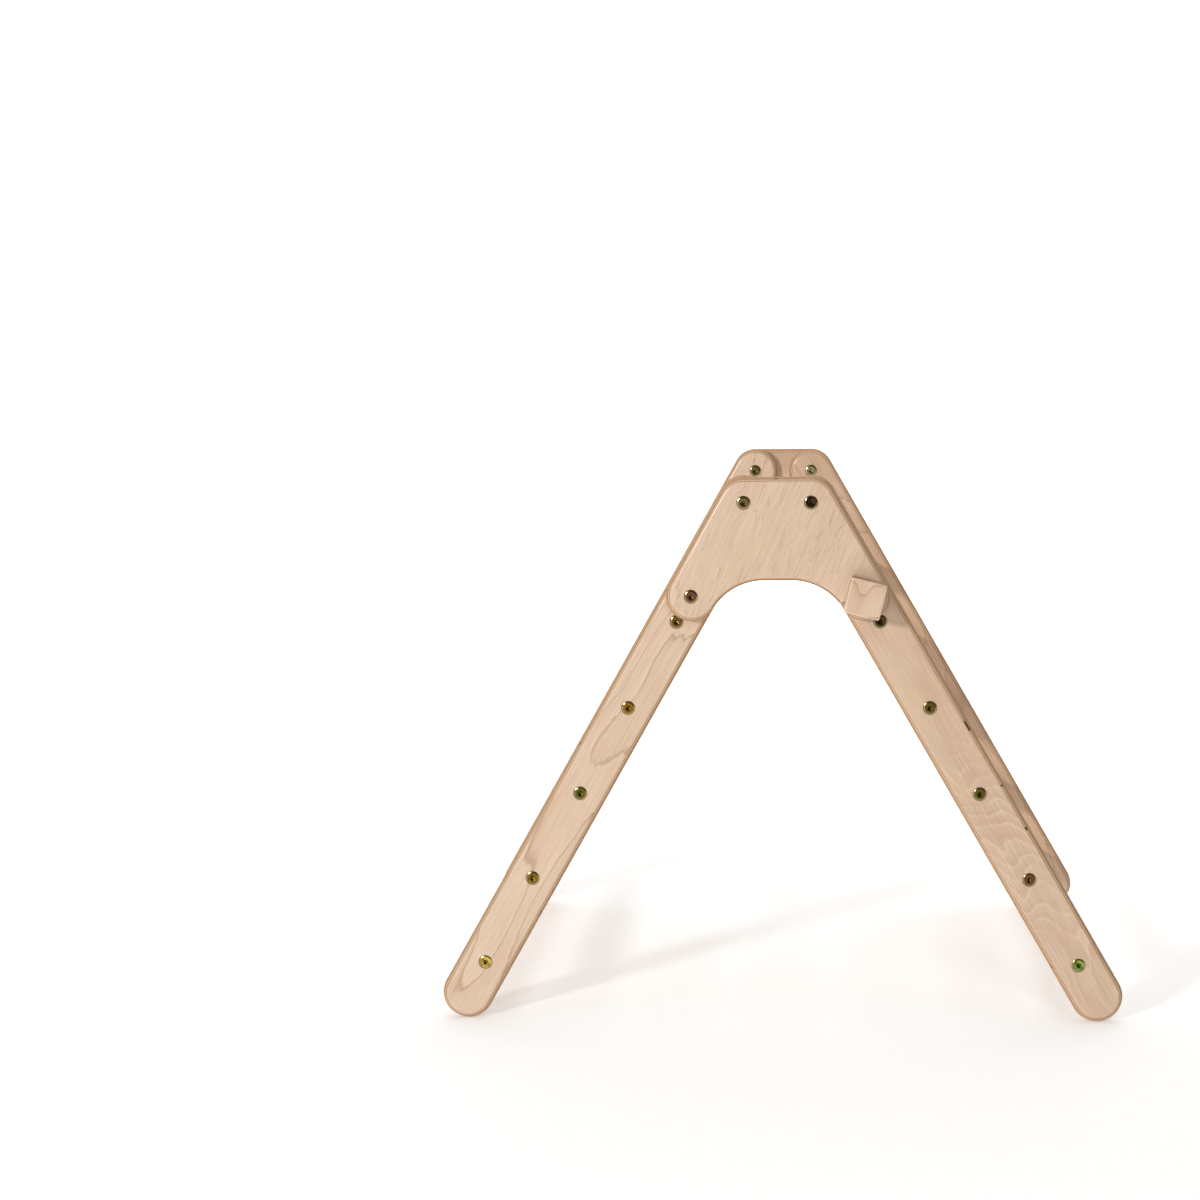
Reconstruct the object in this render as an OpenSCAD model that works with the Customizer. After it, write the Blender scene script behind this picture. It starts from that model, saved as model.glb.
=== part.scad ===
// Folding climbing triangle: two ladder legs with round-ended plywood rails,
// joined by an arched hinge plate on each side. The left leg is bolted to the
// plates. The right leg swings on one bolt per plate and is held open by a
// square wooden locking knob on a threaded stud.
// Frame: X along the spread of the legs, Y along the rungs (front is -Y),
// Z up, origin on the floor in the middle of the four feet. Millimetres.

/* [Legs] */
// Distance from a rail's top bolt to the centre of its round foot
rail_len = 725; // [700:1:760]
// Width of a rail
rail_w = 65; // [60:1:70]
// Thickness of a rail
rail_t = 18; // [16:1:21]

/* [Rungs] */
// Rung diameter
rung_d = 30; // [26:1:35]
// Clear length between the inner faces of the left leg's rails
rung_len = 580; // [480:10:700]
// Distance along the rail from the top bolt to the first rung
rung_first = 174; // [172:1:180]
// Distance between neighbouring rungs along the rail
rung_pitch = 126; // [115:1:128]
// Radius of the broken edge at a rung's ends
rung_chamfer = 1; // [0.5:0.5:2]

/* [Hinge plates] */
// Half the distance between the two upper bolts
hinge_half = 42; // [41:1:46]
// Distance along the rail from the upper bolt to the lower one
lock_dist = 135; // [130:1:140]
// Thickness of a hinge plate
plate_t = 18; // [16:1:21]
// Radius of the plate's four round lobes
lobe_r = 31.5; // [30:0.5:32]
// Drop from the upper bolts to the crest of the arch
arch_drop = 97.6; // [90:0.1:105]
// Half length of the straight stretch at the crest
arch_flat = 17; // [10:1:24]
// Gap between a plate and the swinging rail
swing_gap = 0.4; // [0.3:0.1:1]

/* [Edges] */
// Radius of the rounded edges of the rails and hinge plates
edge_r = 7.5; // [6.5:0.5:8]
// Broken edge along the arch of a hinge plate
arch_edge = 1.6; // [1:0.1:1.8]
// Broken edge around the recess of a bolt head
sink_edge = 0.6; // [0.3:0.1:0.8]

/* [Fasteners] */
// Diameter of a bolt head
head_d = 17; // [15:0.5:18]
// Thickness of a bolt head
head_h = 2.3; // [2:0.1:2.5]
// Shank diameter
shank_d = 8; // [6:1:8]
// Outer diameter of a sleeve nut
sleeve_d = 10; // [10:0.5:11]
// Radial clearance of the swinging rail on its sleeve
pivot_fit = 0.05; // [0.02:0.01:0.1]
// Hexagon socket, across flats
socket_af = 5; // [4:0.5:5]
// Shank length of a rung bolt
rung_bolt_len = 50; // [40:5:50]
// Shank length of a plate or pivot bolt
plate_bolt_len = 25; // [20:5:25]
// Outer diameter of a threaded insert in a rung
insert_d = 12; // [11:0.5:13]
// Length of a threaded insert in a rung
insert_len = 25; // [20:1:25]

/* [Locking knob] */
// Side of the square knob
knob_w = 45; // [40:1:50]
// Thickness of the knob
knob_t = 30; // [24:1:36]
// Radius of the turned circle that takes off the knob's four corners
knob_turned = 30.5; // [29:0.1:32]
// Radius of the rounded edges of the knob's two faces
knob_edge = 2; // [1.5:0.5:4]
// Turn of the knobs at rest, degrees clockwise seen from the front
knob_turn = 14; // [-45:1:45]
// Width of the slot that the stud leaves the plate by
slot_w = 9; // [8.8:0.1:10]
// Washer diameter
washer_d = 24; // [20:1:28]
// Washer thickness
washer_t = 1.6; // [1:0.1:2]

/* [Hidden] */
$fn = 64;

// Angle of each leg from the vertical, degrees. Kept fixed, and to this many
// places, because the rounded edges of the plates meet cleanly at this value.
leg_angle = 29.59457;

rung_n = 5;
rail_r = rail_w / 2;
top_z = rail_r + rail_len * cos(leg_angle);      // height of the upper bolts
in_y = -rung_len / 2;                            // inner face of the fixed front rail
out_y = in_y - rail_t;                           // its outer face, where the plate lies
face_y = out_y - plate_t;                        // the plate's outer face
swing_out_y = out_y + swing_gap;                 // outer face of the swinging rail
swing_in_y = swing_out_y + rail_t;               // its inner face
bore_gap = 0.05;                                 // radial room where a thread would be
shank_r = shank_d / 2;
head_r = head_d / 2;
sleeve_r = sleeve_d / 2;
sink = head_h + 0.2;                             // depth of a head's recess
sink_r = head_r + 0.25;
sleeve_len = 26;
sleeve_bore = 21.5;
clip = 0.3;                                      // room between pieces that slide past

// A point on a leg's centre line, s below the upper bolt. side is -1 left, 1 right.
function on_leg(side, s) = [side * (hinge_half + s * sin(leg_angle)), top_z - s * cos(leg_angle)];
function rung_at(i) = rung_first + rung_pitch * i;
lock = on_leg(1, lock_dist);
pivot = on_leg(1, 0);

// The arch: two arcs that run into the lower lobes, and a short straight crest.
// The arc's radius follows from touching the lobe. Curves that would only touch
// are made to cross by a small bite, so that they join cleanly.
bite = 0.3;
crest_bite = 0.2;
crest_z = top_z - arch_drop;
arc_dx = lock[0] - arch_flat;
arc_dz = crest_z - lock[1];
arch_r = (arc_dx * arc_dx + arc_dz * arc_dz - lobe_r * lobe_r) / (2 * (lobe_r + arc_dz)) + bite;
arc_c = [arch_flat, crest_z - arch_r];
arc_turn = atan2(lock[1] - arc_c[1], lock[0] - arc_c[0]);

birch = [0.87, 0.75, 0.62];
beech = [0.85, 0.70, 0.54];
zinc = [0.55, 0.50, 0.28];
steel = [0.62, 0.62, 0.60];

// Extrudes a drawing in X and Z into a slab from y to y + t.
module slab(y, t) {
  translate([0, y + t, 0]) rotate([90, 0, 0]) linear_extrude(height = t) children();
}
// A round bar or hole along Y through a point [x, z].
module bar_y(p, r, y0, y1) {
  translate([p[0], y1, p[1]]) rotate([90, 0, 0]) cylinder(r = r, h = y1 - y0);
}
// Puts something drawn along +Z at [x, z] so that +Z points out of the front.
module facing_front(p, y) {
  translate([p[0], y, p[1]]) rotate([90, 0, 0]) children();
}
module facing_back(p, y) {
  translate([p[0], y, p[1]]) rotate([-90, 0, 0]) children();
}
module rear() { mirror([0, 1, 0]) children(); }
module both_sides() { children(); rear() children(); }
// Recess for a bolt head at p: from the outer face at y inwards, edge broken.
module sink_front(p, y, depth) {
  bar_y(p, sink_r, y - 1, y + depth);
  facing_back(p, y - 1) cylinder(r1 = sink_r + sink_edge + 1, r2 = sink_r - 1, h = sink_edge + 2);
}
module sink_back(p, y, depth) {
  bar_y(p, sink_r, y - depth, y + 1);
  facing_front(p, y + 1) cylinder(r1 = sink_r + sink_edge + 1, r2 = sink_r - 1, h = sink_edge + 2);
}

// ---- boards with rounded edges; thickness t along Y from y ----
// Half section: out along X to the rounded edge at w.
module half_section(w, t) {
  translate([0, edge_r]) square([w, t - 2 * edge_r]);
  square([w - edge_r, t]);
  for (y = [edge_r, t - edge_r]) translate([w - edge_r, y]) circle(r = edge_r);
}
module full_section(w, t, r) {
  translate([-w, r]) square([2 * w, t - 2 * r]);
  translate([-w + r, 0]) square([2 * w - 2 * r, t]);
  for (x = [-w + r, w - r], y = [r, t - r]) translate([x, y]) circle(r = r);
}
module round_ends(len, w, t) {
  for (z = [-len, 0]) translate([0, 0, z]) rotate([-90, 0, 0]) rotate_extrude() half_section(w, t);
}
// Down a leg from its upper bolt: both ends round, both edges rounded.
module board(side, len, w, t, y) {
  a = on_leg(side, 0);
  translate([a[0], y, a[1]]) rotate([0, -side * leg_angle, 0]) {
    translate([0, 0, -len]) linear_extrude(height = len) full_section(w, t, edge_r);
    round_ends(len, w, t);
  }
}
// The same with only the outer half between the ends.
module half_board(side, len, w, t, y) {
  a = on_leg(side, 0);
  translate([a[0], y, a[1]]) rotate([0, -side * leg_angle, 0]) {
    mirror([side < 0 ? 1 : 0, 0, 0]) translate([0, 0, -len]) linear_extrude(height = len) half_section(w, t);
    round_ends(len, w, t);
  }
}

// ---- fasteners, drawn from the underside of the head, head towards +Z ----
module head() {
  cylinder(r = head_r, h = head_h - 0.8);
  translate([0, 0, head_h - 0.8]) cylinder(r1 = head_r, r2 = head_r - 1.1, h = 0.8);
}
module socket() {
  translate([0, 0, head_h - 3]) cylinder(r = socket_af / 2 / cos(30), h = 4, $fn = 6);
}
module bolt(len) {
  difference() {
    union() {
      head();
      translate([0, 0, -len]) cylinder(r = shank_r, h = len);
    }
    socket();
  }
}
module sleeve_nut() {
  difference() {
    union() {
      head();
      translate([0, 0, -sleeve_len]) cylinder(r = sleeve_r, h = sleeve_len);
    }
    socket();
    translate([0, 0, -sleeve_len - 1]) cylinder(r = shank_r + bore_gap, h = sleeve_bore + 1);
  }
}

// ---- rails ----
module rung_holes(side, y_out, y_in) {
  for (i = [0 : rung_n - 1]) {
    p = on_leg(side, rung_at(i));
    bar_y(p, shank_r + 0.3, y_out - 1, y_in + 1);
    sink_front(p, y_out, sink);
  }
}
// Front rail of the fixed leg: sleeve nuts hold it to the plate in two places.
module left_rail() {
  difference() {
    board(-1, rail_len, rail_r, rail_t, out_y);
    rung_holes(-1, out_y, in_y);
    for (s = [0, lock_dist]) {
      p = on_leg(-1, s);
      bar_y(p, sleeve_r + 0.1, out_y - 1, in_y + 1);
      sink_back(p, in_y, sink);
    }
  }
}
// Front rail of the swinging leg: a running bore at the top, the knob's nut below.
module right_rail() {
  difference() {
    board(1, rail_len, rail_r, rail_t, swing_out_y);
    rung_holes(1, swing_out_y, swing_in_y);
    bar_y(pivot, sleeve_r + pivot_fit, swing_out_y - 1, swing_in_y + 1);
    bar_y(pivot, head_r + clip, swing_in_y - head_h - 2 * clip, swing_in_y + 1);
    bar_y(lock, nut_r + bore_gap, swing_out_y - 1, swing_in_y + 1);
    bar_y(lock, nut_flange_r + 0.2, swing_in_y - 1.8, swing_in_y + 1);
  }
}

// ---- hinge plate ----
// Middle of the plate between the rounded boards, down to the arch.
module plate_core() {
  o = 10;
  d = (lobe_r - 11.5) * [cos(arc_turn), sin(arc_turn)];
  difference() {
    polygon([
      [-lock[0] - o, lock[1] + 5], [-lock[0], lock[1]], [-lock[0] + d[0], lock[1] - d[1]], lock - d,
      lock, [lock[0] + o, lock[1] + 5], [pivot[0] + o, top_z + o], [-pivot[0] - o, top_z + o]
    ]);
    for (side = [-1, 1]) translate([side * arch_flat, arc_c[1]]) circle(r = arch_r, $fn = 128);
    translate([-arch_flat, arc_c[1]]) square([2 * arch_flat, arch_r - crest_bite]);
  }
}
// Breaks the arch's edges on both faces.
module arch_bevel() {
  c = arch_edge;
  zc = crest_z - crest_bite;
  for (side = [-1, 1]) {
    facing_back([side * arch_flat, arc_c[1]], face_y - 1) cylinder(r1 = arch_r + c + 1, r2 = arch_r - 1, h = c + 2);
    facing_front([side * arch_flat, arc_c[1]], out_y + 1) cylinder(r1 = arch_r + c + 1, r2 = arch_r - 1, h = c + 2);
  }
  translate([-arch_flat, 0, 0]) rotate([90, 0, 90]) linear_extrude(height = 2 * arch_flat) {
    polygon([[face_y - 1, zc - 20], [face_y + c + 1, zc - 20], [face_y + c + 1, zc - 1], [face_y - 1, zc + c + 1]]);
    polygon([[out_y - c - 1, zc - 20], [out_y + 1, zc - 20], [out_y + 1, zc + c + 1], [out_y - c - 1, zc - 1]]);
  }
}
// The stud's way out: an arc about the pivot, closed where the stud rests by a
// hole a little wider than the slot, so that the two cross cleanly.
module stud_slot() {
  translate(lock) circle(r = slot_w / 2 + 0.1);
  intersection() {
    difference() {
      translate(pivot) circle(r = lock_dist + slot_w / 2, $fn = 128);
      translate(pivot) circle(r = lock_dist - slot_w / 2, $fn = 128);
    }
    translate(pivot) rotate(leg_angle - 90)
      polygon([[0, 0], [200, -90], [200, 0]]);
  }
}
module hinge_plate() {
  difference() {
    union() {
      for (side = [-1, 1]) half_board(side, lock_dist, lobe_r, plate_t, face_y);
      translate([pivot[0], face_y, top_z]) rotate([0, -90, 0])
        linear_extrude(height = 2 * pivot[0]) half_section(lobe_r - bite, plate_t);
      slab(face_y, plate_t) plate_core();
    }
    slab(face_y - 1, plate_t + 2) stud_slot();
    arch_bevel();
    for (p = [on_leg(-1, 0), on_leg(-1, lock_dist), pivot]) {
      bar_y(p, sleeve_r + 0.1, face_y - 1, out_y + 1);
      sink_front(p, face_y, sink);
    }
  }
}

// ---- rungs ----
module rung(side, i, y_in) {
  p = on_leg(side, rung_at(i));
  r = rung_d / 2;
  c = rung_chamfer;
  difference() {
    union() {
      bar_y(p, r, y_in + c, -y_in - c);
      both_sides() facing_front(p, y_in + c) cylinder(r1 = r, r2 = r - c, h = c);
    }
    both_sides() {
      bar_y(p, insert_d / 2 + bore_gap, y_in - 1, y_in + insert_len + 0.5);
      bar_y(p, shank_r + 0.3, y_in + insert_len, y_in + 40);
    }
  }
}
module rung_insert() {
  difference() {
    translate([0, 0, -insert_len]) cylinder(r = insert_d / 2, h = insert_len);
    translate([0, 0, -insert_len - 1]) cylinder(r = shank_r + bore_gap, h = insert_len + 2);
  }
}
module rung_bolts(side, y_out) {
  both_sides() for (i = [0 : rung_n - 1])
    facing_front(on_leg(side, rung_at(i)), y_out + sink) bolt(rung_bolt_len);
}
module rung_inserts(side, y_in) {
  both_sides() for (i = [0 : rung_n - 1])
    facing_front(on_leg(side, rung_at(i)), y_in + 0.2) rung_insert();
}

// ---- locking knob: nut in the rail, stud, washer and square wooden head ----
nut_r = 5.5;
nut_flange_r = 9.5;
washer_y = face_y - clip;                        // inner face of the washer
knob_y = washer_y - washer_t - clip;             // inner face of the knob
stud_in_knob = 18;
module insert_nut() {
  difference() {
    union() {
      bar_y(lock, nut_r, swing_out_y + 1, swing_in_y - 0.2);
      bar_y(lock, nut_flange_r, swing_in_y - 1.7, swing_in_y - 0.2);
    }
    bar_y(lock, shank_r + bore_gap, swing_out_y - 1, swing_in_y + 1);
  }
}
module washer() {
  difference() {
    bar_y(lock, washer_d / 2, washer_y - washer_t, washer_y);
    bar_y(lock, shank_r + 0.3, washer_y - washer_t - 1, washer_y + 1);
  }
}
module stud() {
  bar_y(lock, shank_r, knob_y - stud_in_knob, swing_in_y - 1.4);
}
// The square head, faces along Y from 0 to knob_t: two rounded bars crossed, and
// the corners turned off.
module knob_head() {
  a = knob_w / 2;
  intersection() {
    translate([0, 0, -a - 1]) linear_extrude(height = 2 * a + 2) full_section(a, knob_t, knob_edge);
    translate([-a - 1, 0, 0]) rotate([90, 0, 90]) linear_extrude(height = 2 * a + 2)
      translate([knob_t, 0]) rotate(90) full_section(a, knob_t, knob_edge);
    translate([0, knob_t + 1, 0]) rotate([90, 0, 0]) cylinder(r = knob_turned, h = knob_t + 2);
  }
}
module knob() {
  difference() {
    translate([lock[0], knob_y - knob_t, lock[1]]) rotate([0, knob_turn, 0]) knob_head();
    bar_y(lock, shank_r + bore_gap, knob_y - stud_in_knob - 0.5, knob_y + 1);
  }
}

// ---- the nodes ----
module front_hinge_plate() { color(birch) hinge_plate(); }
module rear_hinge_plate() { color(birch) rear() hinge_plate(); }
module front_left_rail() { color(birch) left_rail(); }
module rear_left_rail() { color(birch) rear() left_rail(); }
module front_right_rail() { color(birch) right_rail(); }
module rear_right_rail() { color(birch) rear() right_rail(); }
module left_rung(i) { color(beech) rung(-1, i, in_y); }
module right_rung(i) { color(beech) rung(1, i, swing_in_y); }
module left_rung_bolts() { color(zinc) rung_bolts(-1, out_y); }
module right_rung_bolts() { color(zinc) rung_bolts(1, swing_out_y); }
module left_rung_inserts() { color(steel) rung_inserts(-1, in_y); }
module right_rung_inserts() { color(steel) rung_inserts(1, swing_in_y); }
module plate_bolts() {
  color(zinc) both_sides() for (s = [0, lock_dist])
    facing_front(on_leg(-1, s), face_y + sink) bolt(plate_bolt_len);
}
module plate_sleeve_nuts() {
  color(zinc) both_sides() for (s = [0, lock_dist])
    facing_back(on_leg(-1, s), in_y - sink) sleeve_nut();
}
module pivot_bolts() {
  color(zinc) both_sides() facing_front(pivot, face_y + sink) bolt(plate_bolt_len);
}
module pivot_sleeve_nuts() {
  color(zinc) both_sides() facing_back(pivot, swing_in_y - head_h - clip) sleeve_nut();
}
module knob_insert_nuts() { color(steel) both_sides() insert_nut(); }
module front_knob_washer() { color(steel) washer(); }
module front_knob() { color(birch) knob(); }
module front_knob_stud() { color(steel) stud(); }
module rear_knob_washer() { color(steel) rear() washer(); }
module rear_knob() { color(birch) rear() knob(); }
module rear_knob_stud() { color(steel) rear() stud(); }

front_hinge_plate();
rear_hinge_plate();
front_left_rail();
rear_left_rail();
left_rung(0);  // left_rung_1
left_rung(1);  // left_rung_2
left_rung(2);  // left_rung_3
left_rung(3);  // left_rung_4
left_rung(4);  // left_rung_5
left_rung_bolts();
left_rung_inserts();
plate_bolts();
plate_sleeve_nuts();
pivot_bolts();
pivot_sleeve_nuts();
front_right_rail();
rear_right_rail();
right_rung(0);  // right_rung_1
right_rung(1);  // right_rung_2
right_rung(2);  // right_rung_3
right_rung(3);  // right_rung_4
right_rung(4);  // right_rung_5
right_rung_bolts();
right_rung_inserts();
knob_insert_nuts();
front_knob_washer();
front_knob();
front_knob_stud();
rear_knob_washer();
rear_knob();
rear_knob_stud();
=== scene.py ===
import bpy
import bmesh
import math
from mathutils import Matrix, Vector, noise
from mathutils.geometry import delaunay_2d_cdt


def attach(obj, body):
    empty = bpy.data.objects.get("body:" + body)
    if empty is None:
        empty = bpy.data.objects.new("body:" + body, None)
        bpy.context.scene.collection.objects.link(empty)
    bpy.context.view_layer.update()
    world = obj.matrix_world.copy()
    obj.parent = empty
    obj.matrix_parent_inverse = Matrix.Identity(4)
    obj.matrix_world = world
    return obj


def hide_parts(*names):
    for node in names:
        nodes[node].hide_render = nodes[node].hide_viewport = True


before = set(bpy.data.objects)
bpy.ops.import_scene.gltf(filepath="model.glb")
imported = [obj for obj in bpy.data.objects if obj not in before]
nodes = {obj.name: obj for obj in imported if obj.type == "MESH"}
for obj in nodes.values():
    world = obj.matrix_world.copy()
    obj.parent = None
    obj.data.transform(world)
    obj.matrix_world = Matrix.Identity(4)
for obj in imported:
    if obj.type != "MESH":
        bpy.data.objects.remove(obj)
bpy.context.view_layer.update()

# ------------------------------------------------------------------ sizes, in metres
MM = 0.001
LEG = math.radians(29.59457)
SIN, COS = math.sin(LEG), math.cos(LEG)
RAIL_LEN, RAIL_R, RAIL_T = 725 * MM, 32.5 * MM, 18 * MM
HINGE, LOCK = 42 * MM, 135 * MM
LOBE = 31.5 * MM
TOP = RAIL_R + RAIL_LEN * COS
CREST = TOP - 97.6 * MM
FLAT = 17 * MM
IN_Y, OUT_Y, FACE_Y = -290 * MM, -308 * MM, -326 * MM
SWING_Y = OUT_Y + 0.4 * MM
SWING_IN = SWING_Y + RAIL_T
SINK = 2.5 * MM
EDGE = 7.5 * MM
KNOB_Y = FACE_Y - 2.2 * MM


def on_leg(side, s):
    return side * (HINGE + s * SIN), TOP - s * COS


RUNGS = [(174 + 126 * i) * MM for i in range(5)]
LOCK_P = on_leg(1, LOCK)
PIVOT_P = on_leg(1, 0)


# ------------------------------------------------------------------ node helpers
class Net:
    """A material's or a world's node tree, written as expressions."""

    def __init__(self, tree):
        self.t = tree
        tree.nodes.clear()

    def new(self, kind, **facts):
        n = self.t.nodes.new(kind)
        for k, v in facts.items():
            setattr(n, k, v)
        return n

    def put(self, socket, value):
        if isinstance(value, bpy.types.NodeSocket):
            self.t.links.new(value, socket)
        elif isinstance(value, (tuple, list)) and socket.type == "RGBA" and len(value) == 3:
            socket.default_value = (*value, 1.0)
        else:
            socket.default_value = value

    def math(self, op, a, b=None, c=None, clamp=False):
        n = self.new("ShaderNodeMath", operation=op, use_clamp=clamp)
        for i, v in enumerate((a, b, c)):
            if v is not None:
                self.put(n.inputs[i], v)
        return n.outputs[0]

    def add(self, a, b): return self.math("ADD", a, b)
    def sub(self, a, b): return self.math("SUBTRACT", a, b)
    def mul(self, a, b): return self.math("MULTIPLY", a, b)

    def step(self, v, lo, hi, out0=0.0, out1=1.0):
        n = self.new("ShaderNodeMapRange", interpolation_type="SMOOTHSTEP")
        for name, x in (("Value", v), ("From Min", lo), ("From Max", hi), ("To Min", out0), ("To Max", out1)):
            self.put(n.inputs[name], x)
        return n.outputs["Result"]

    def vec(self, x, y, z):
        n = self.new("ShaderNodeCombineXYZ")
        for i, v in enumerate((x, y, z)):
            self.put(n.inputs[i], v)
        return n.outputs[0]

    def xyz(self, v):
        n = self.new("ShaderNodeSeparateXYZ")
        self.put(n.inputs[0], v)
        return n.outputs

    def noise(self, v, scale=1.0, detail=2.0, rough=0.5, warp=0.0):
        n = self.new("ShaderNodeTexNoise")
        self.put(n.inputs["Vector"], v)
        n.inputs["Scale"].default_value = scale
        n.inputs["Detail"].default_value = detail
        n.inputs["Roughness"].default_value = rough
        n.inputs["Distortion"].default_value = warp
        return n.outputs["Fac"]

    def mix(self, f, a, b, kind="MIX"):
        n = self.new("ShaderNodeMix", data_type="RGBA", blend_type=kind)
        self.put(n.inputs[0], f)
        self.put(n.inputs[6], a)
        self.put(n.inputs[7], b)
        return n.outputs[2]

    def attr(self, name, what="Vector"):
        return self.new("ShaderNodeAttribute", attribute_name=name).outputs[what]


def srgb(r, g, b):
    f = lambda c: (c / 255 / 12.92) if c / 255 <= 0.04045 else ((c / 255 + 0.055) / 1.055) ** 2.4
    return (f(r), f(g), f(b))


def material(name):
    """A new material for the record's slot of that name."""
    m = bpy.data.materials.new("seen_" + name)
    m["slot"] = name
    m.use_nodes = True
    n = Net(m.node_tree)
    out = n.new("ShaderNodeOutputMaterial")
    bsdf = n.new("ShaderNodeBsdfPrincipled")
    n.t.links.new(bsdf.outputs[0], out.inputs[0])
    return m, n, bsdf


# ------------------------------------------------------------------ materials
PALE = srgb(226, 201, 176)
WARM = srgb(204, 172, 142)
LINE = srgb(172, 130, 96)
PLY_DARK = srgb(160, 114, 76)
PLY_MID = srgb(204, 162, 122)
PLY_PALE = srgb(224, 190, 154)
GLUE = srgb(92, 56, 32)
HONEY = srgb(230, 198, 156)
ROSE = srgb(222, 186, 162)
SILK = srgb(238, 218, 196)


def plywood(figure, line_amount, soft_amount, gaps=(), crest=0.97):
    """Birch plywood. The grain attribute is (along the grain, across it, depth) in metres, with an offset for each board."""
    m, n, bsdf = material("birch_plywood")
    u, v, w = n.xyz(n.attr("grain"))
    tone = n.attr("tone", "Fac")
    lay = n.attr("lay", "Fac")
    # rotary-cut figure: level lines of a field drawn out along the grain, with flame-like tips
    flame = n.mul(n.sub(n.noise(n.vec(n.mul(u, 45.0), n.mul(v, 260.0), n.add(lay, 3.1)), 1.0, 2.0, 0.6), 0.5), 0.022)
    field, strength = figure(n, u, v, lay, flame)
    saw = n.math("FRACT", field)
    soft = n.math("POWER", saw, 3.0)
    sharp = n.step(saw, 0.86, 0.97)
    after = n.step(saw, crest, 1.0, 1.0, 0.0)
    line = n.mul(n.mul(n.add(n.mul(soft, soft_amount), n.mul(sharp, 1.0 - soft_amount)), after), strength)
    # fibres, streaks and short flecks
    fibre = n.noise(n.vec(n.mul(u, 55.0), n.mul(v, 1500.0), n.mul(w, 900.0)), 1.0, 3.0, 0.6)
    streaks = n.noise(n.vec(n.mul(u, 9.0), n.mul(v, 330.0), n.add(lay, 2.6)), 1.0, 3.0, 0.6)
    fleck = n.step(n.noise(n.vec(n.mul(u, 380.0), n.mul(v, 2300.0), n.add(lay, 2.0)), 1.0, 1.0, 0.5), 0.68, 0.78)
    cloud = n.noise(n.vec(n.mul(u, 5.0), n.mul(v, 14.0), n.add(lay, 5.0)), 1.0, 2.0, 0.5)
    face = n.mix(n.step(n.add(n.sub(cloud, 0.5), n.mul(tone, 0.6)), -0.25, 0.55), PALE, WARM)
    patch = n.noise(n.vec(n.mul(u, 11.0), n.mul(v, 34.0), n.add(lay, 9.0)), 1.0, 2.0, 0.5)
    face = n.mix(n.step(patch, 0.52, 0.70, 0.0, 0.26), face, HONEY)
    face = n.mix(n.step(patch, 0.48, 0.32, 0.0, 0.35), face, ROSE)
    face = n.mix(n.step(streaks, 0.38, 0.68, 0.0, 0.26), face, WARM)
    silk = n.noise(n.vec(n.mul(u, 15.0), n.mul(v, 620.0), n.add(lay, 5.4)), 1.0, 2.0, 0.6)
    face = n.mix(n.step(silk, 0.50, 0.72, 0.0, 0.34), face, SILK)
    face = n.mix(n.step(silk, 0.46, 0.28, 0.0, 0.22), face, LINE)
    face = n.mix(n.mul(n.mul(n.step(saw, 0.30, 0.02), strength), soft_amount * 0.3), face, SILK)
    face = n.mix(n.mul(line, line_amount), face, LINE)
    face = n.mix(n.step(fibre, 0.35, 0.70, 0.0, 0.15), face, LINE)
    face = n.mix(n.mul(fleck, 0.10), face, PLY_DARK)
    # the plies show wherever the cut goes below the face veneer, with a dark line between each two
    wave = n.mul(n.sub(n.noise(n.vec(n.mul(u, 26.0), n.mul(v, 26.0), 4.0), 1.0, 1.0, 0.5), 0.5), 0.00018)
    depth = n.add(n.math("MINIMUM", w, n.sub(0.018, w)), wave)
    layer = n.math("DIVIDE", n.sub(depth, 0.00045), 0.0014)
    which = n.math("FLOOR", layer)
    cross = n.math("MODULO", n.add(which, 20.0), 2.0)
    in_layer = n.math("FRACT", n.add(layer, 20.0))
    glue = n.math("MAXIMUM", n.step(in_layer, 0.13, 0.27, 1.0, 0.0), n.step(in_layer, 0.95, 1.0))
    streak = n.noise(n.vec(n.mul(u, 240.0), n.mul(v, 240.0), n.mul(w, 2600.0)), 1.0, 2.0, 0.6)
    ply = n.mix(cross, n.mix(n.mul(streak, 0.5), PLY_PALE, LINE), n.mix(streak, PLY_DARK, PLY_MID))
    ply = n.mix(n.mul(glue, 0.70), ply, GLUE)
    void_at = n.noise(n.vec(n.mul(u, 60.0), n.mul(v, 60.0), n.add(n.mul(which, 3.7), lay)), 1.0, 1.0, 0.5)
    void = n.mul(n.mul(n.step(void_at, 0.745, 0.775), cross), n.step(in_layer, 0.1, 0.25))
    # short open gaps in the first layer under the veneer: (place along the grain, half length, v of the far side)
    crumbs = n.step(n.noise(n.vec(n.mul(u, 260.0), n.mul(w, 500.0), lay), 1.0, 1.0, 0.5), 0.37, 0.45)
    shallow = n.mul(n.step(depth, 0.00038, 0.00046), n.step(depth, 0.00200, 0.00165))
    for place, half, limit in gaps:
        near = n.step(n.math("ABSOLUTE", n.sub(u, place)), half, half * 0.75)
        void = n.math("MAXIMUM", void, n.mul(n.mul(n.mul(near, crumbs), shallow), n.step(v, limit, limit - 0.002)))
    # along the arch's downward-facing edge the plies get painted shade: honey next to the veneer, dark brown below
    arch_painted_shade = n.mix(n.step(depth, 0.0013, 0.0020), srgb(212, 160, 112), srgb(92, 64, 44))
    ply = n.mix(n.mul(n.attr("painted_light", "Fac"), 0.80), ply, arch_painted_shade)
    ply = n.mix(n.mul(void, 0.92), ply, srgb(40, 26, 18))
    below = n.step(depth, 0.00040, 0.00050)
    n.put(bsdf.inputs["Base Color"], n.mix(below, face, ply))
    rough = n.add(n.mul(fibre, 0.14), n.add(0.36, n.mul(below, 0.34)))
    n.put(bsdf.inputs["Roughness"], n.sub(rough, n.mul(line, 0.05)))
    bsdf.inputs["Specular IOR Level"].default_value = 0.40
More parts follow.
